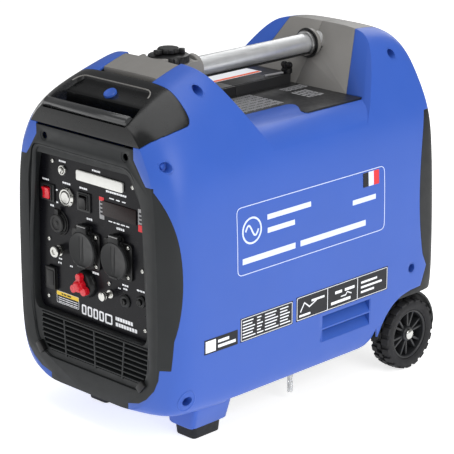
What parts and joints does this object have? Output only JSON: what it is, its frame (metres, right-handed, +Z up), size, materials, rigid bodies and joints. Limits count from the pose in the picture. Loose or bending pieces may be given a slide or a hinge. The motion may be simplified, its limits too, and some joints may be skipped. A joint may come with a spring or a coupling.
{
  "type": "inverter generator",
  "caption": "Portable inverter generator in a moulded casing with a front control panel, a pull-out handle, a lift tube between two humps and rear wheels.",
  "frame": {"origin": "centre of the bounding box on the ground", "axes": "+X to the right seen from the control panel's side, +Y towards the wheels, +Z up; the control panel faces -Y"},
  "size_m": [0.332, 0.548, 0.498],
  "materials": {
    "blue_plastic": "satin moulded plastic",
    "dark_plastic": "fine-textured moulded plastic",
    "gloss_panel": "gloss",
    "grey_cover": "satin",
    "deck_plastic": "satin",
    "knob_plastic": "satin",
    "grip_plastic": "satin gloss",
    "tube_aluminium": "fine brushed",
    "rod_steel": "bright",
    "plain_steel": "plain",
    "foot_rubber": "matte",
    "rim_plastic": "satin",
    "tyre_rubber": "matte",
    "red_plastic": "gloss",
    "housing_plastic": "satin",
    "button_chrome": "bright",
    "lamp_lens": "frosted",
    "display_glass": "dark tinted",
    "clear_tube": "clear soft plastic",
    "tank_steel": "painted",
    "engine_aluminium": "as cast",
    "rotor_steel": "plain",
    "stator_copper": "varnished winding",
    "muffler_steel": "heat-stained",
    "inverter_aluminium": "finned",
    "battery_plastic": "plain",
    "filter_plastic": "plain"
  },
  "bodies": {
    "housing": {"left_side_shell": "blue_plastic", "right_side_shell": "blue_plastic", "front_bezel": "dark_plastic", "rear_bezel": "dark_plastic", "base_tray": "dark_plastic", "wheel_brackets": "dark_plastic", "control_panel": "gloss_panel", "front_top_cover": "grey_cover", "rear_top_cover_left": "grey_cover", "rear_top_cover_right": "grey_cover", "top_deck": "deck_plastic", "service_cover": "deck_plastic", "tube_collars": "deck_plastic", "knob_base": "knob_plastic", "lift_tube": "tube_aluminium", "axle_caps": "rod_steel", "rod_guides": "plain_steel", "axle": "plain_steel", "screws": "plain_steel", "front_feet": "foot_rubber", "switch_housings": "housing_plastic", "socket_frames": "housing_plastic", "dc_socket": "housing_plastic", "usb_port": "housing_plastic", "ground_terminal": "button_chrome", "spool_terminal": "button_chrome", "led_lens": "lamp_lens", "display_window": "display_glass", "drain_tube": "clear_tube", "fuel_tank": "tank_steel", "engine_block": "engine_aluminium", "stator": "stator_copper", "muffler": "muffler_steel", "inverter_module": "inverter_aluminium", "battery": "battery_plastic", "air_filter_box": "filter_plastic"},
    "handle": {"handle_grip": "grip_plastic", "handle_rods": "rod_steel"},
    "release_button": {"release_button": "blue_plastic"},
    "left_wheel": {"left_wheel": "rim_plastic", "left_tyre": "tyre_rubber"},
    "right_wheel": {"right_wheel": "rim_plastic", "right_tyre": "tyre_rubber"},
    "fuel_cap": {"fuel_cap": "knob_plastic"},
    "vent_lever": {"vent_lever": "knob_plastic"},
    "main_rocker": {"main_rocker": "red_plastic"},
    "eco_rocker": {"eco_rocker": "knob_plastic"},
    "start_button": {"start_button": "button_chrome"},
    "light_button": {"light_button": "button_chrome"},
    "left_socket_lid": {"left_socket_lid": "housing_plastic"},
    "right_socket_lid": {"right_socket_lid": "housing_plastic"},
    "dc_socket_cap": {"dc_socket_cap": "knob_plastic"},
    "usb_cover": {"usb_cover": "knob_plastic"},
    "engine_knob": {"engine_knob": "red_plastic"},
    "ground_nut": {"ground_nut": "button_chrome"},
    "ac_reset_button": {"ac_reset_button": "knob_plastic"},
    "dc_reset_button": {"dc_reset_button": "knob_plastic"},
    "cover_knob": {"cover_knob": "knob_plastic"},
    "crank_rotor": {"crank_rotor": "rotor_steel"},
    "recoil_grip": {"recoil_grip": "dark_plastic"}
  },
  "joints": [
    {"name": "handle_slide", "type": "slide", "parent": "housing", "child": "handle", "axis": [0, -0.9511, 0.309], "range_m": [0, 0.22]},
    {"name": "release_press", "type": "slide", "parent": "handle", "child": "release_button", "axis": [0, 0.4695, -0.8829], "range_m": [0, 0.003], "stiffness_N_per_m": 600},
    {"name": "left_wheel_spin", "type": "hinge", "parent": "housing", "child": "left_wheel", "pos_m": [-0.1495, 0.2053, 0.0527], "axis": [1, 0, 0], "continuous": true},
    {"name": "right_wheel_spin", "type": "hinge", "parent": "housing", "child": "right_wheel", "pos_m": [0.1495, 0.2053, 0.0527], "axis": [1, 0, 0], "continuous": true},
    {"name": "fuel_cap_lift", "type": "slide", "parent": "housing", "child": "fuel_cap", "axis": [0, 0, 1], "range_m": [0, 0.05]},
    {"name": "vent_lever_turn", "type": "hinge", "parent": "fuel_cap", "child": "vent_lever", "pos_m": [0, -0.113, 0.491], "axis": [0, 0, 1], "range_deg": [0, 90]},
    {"name": "main_rocker_tilt", "type": "hinge", "parent": "housing", "child": "main_rocker", "pos_m": [-0.09, -0.2516, 0.31], "axis": [1, 0, 0], "range_deg": [-16, 0]},
    {"name": "eco_rocker_tilt", "type": "hinge", "parent": "housing", "child": "eco_rocker", "pos_m": [-0.017, -0.2516, 0.311], "axis": [1, 0, 0], "range_deg": [-16, 0]},
    {"name": "start_press", "type": "slide", "parent": "housing", "child": "start_button", "axis": [0, 1, 0], "range_m": [0, 0.003], "stiffness_N_per_m": 400},
    {"name": "light_press", "type": "slide", "parent": "housing", "child": "light_button", "axis": [0, 1, 0], "range_m": [0, 0.003], "stiffness_N_per_m": 300},
    {"name": "left_lid_hinge", "type": "hinge", "parent": "housing", "child": "left_socket_lid", "pos_m": [-0.013, -0.2574, 0.279], "axis": [-1, 0, 0], "range_deg": [0, 110], "stiffness_Nm_per_rad": 0.01},
    {"name": "right_lid_hinge", "type": "hinge", "parent": "housing", "child": "right_socket_lid", "pos_m": [0.049, -0.2574, 0.279], "axis": [-1, 0, 0], "range_deg": [0, 110], "stiffness_Nm_per_rad": 0.01},
    {"name": "dc_cap_hinge", "type": "hinge", "parent": "housing", "child": "dc_socket_cap", "pos_m": [-0.067, -0.2554, 0.291], "axis": [-1, 0, 0], "range_deg": [0, 110], "stiffness_Nm_per_rad": 0.004},
    {"name": "usb_cover_hinge", "type": "hinge", "parent": "housing", "child": "usb_cover", "pos_m": [-0.085, -0.2541, 0.206], "axis": [-1, 0, 0], "range_deg": [0, 110], "stiffness_Nm_per_rad": 0.004},
    {"name": "engine_knob_turn", "type": "hinge", "parent": "housing", "child": "engine_knob", "pos_m": [-0.015, -0.26, 0.199], "axis": [0, -1, 0], "range_deg": [-60, 60]},
    {"name": "ground_nut_turn", "type": "hinge", "parent": "housing", "child": "ground_nut", "pos_m": [0.031, -0.26, 0.196], "axis": [0, -1, 0], "continuous": true},
    {"name": "ac_reset_press", "type": "slide", "parent": "housing", "child": "ac_reset_button", "axis": [0, 1, 0], "range_m": [0, 0.003], "stiffness_N_per_m": 300},
    {"name": "dc_reset_press", "type": "slide", "parent": "housing", "child": "dc_reset_button", "axis": [0, 1, 0], "range_m": [0, 0.003], "stiffness_N_per_m": 300},
    {"name": "cover_knob_turn", "type": "hinge", "parent": "housing", "child": "cover_knob", "pos_m": [-0.013, 0.13, 0.43], "axis": [0, 0, 1], "continuous": true},
    {"name": "crankshaft_spin", "type": "hinge", "parent": "housing", "child": "crank_rotor", "pos_m": [0, 0, 0.13], "axis": [0, 1, 0], "continuous": true},
    {"name": "recoil_pull", "type": "slide", "parent": "housing", "child": "recoil_grip", "axis": [-1, 0, 0], "range_m": [0, 0.4], "stiffness_N_per_m": 15}
  ]
}
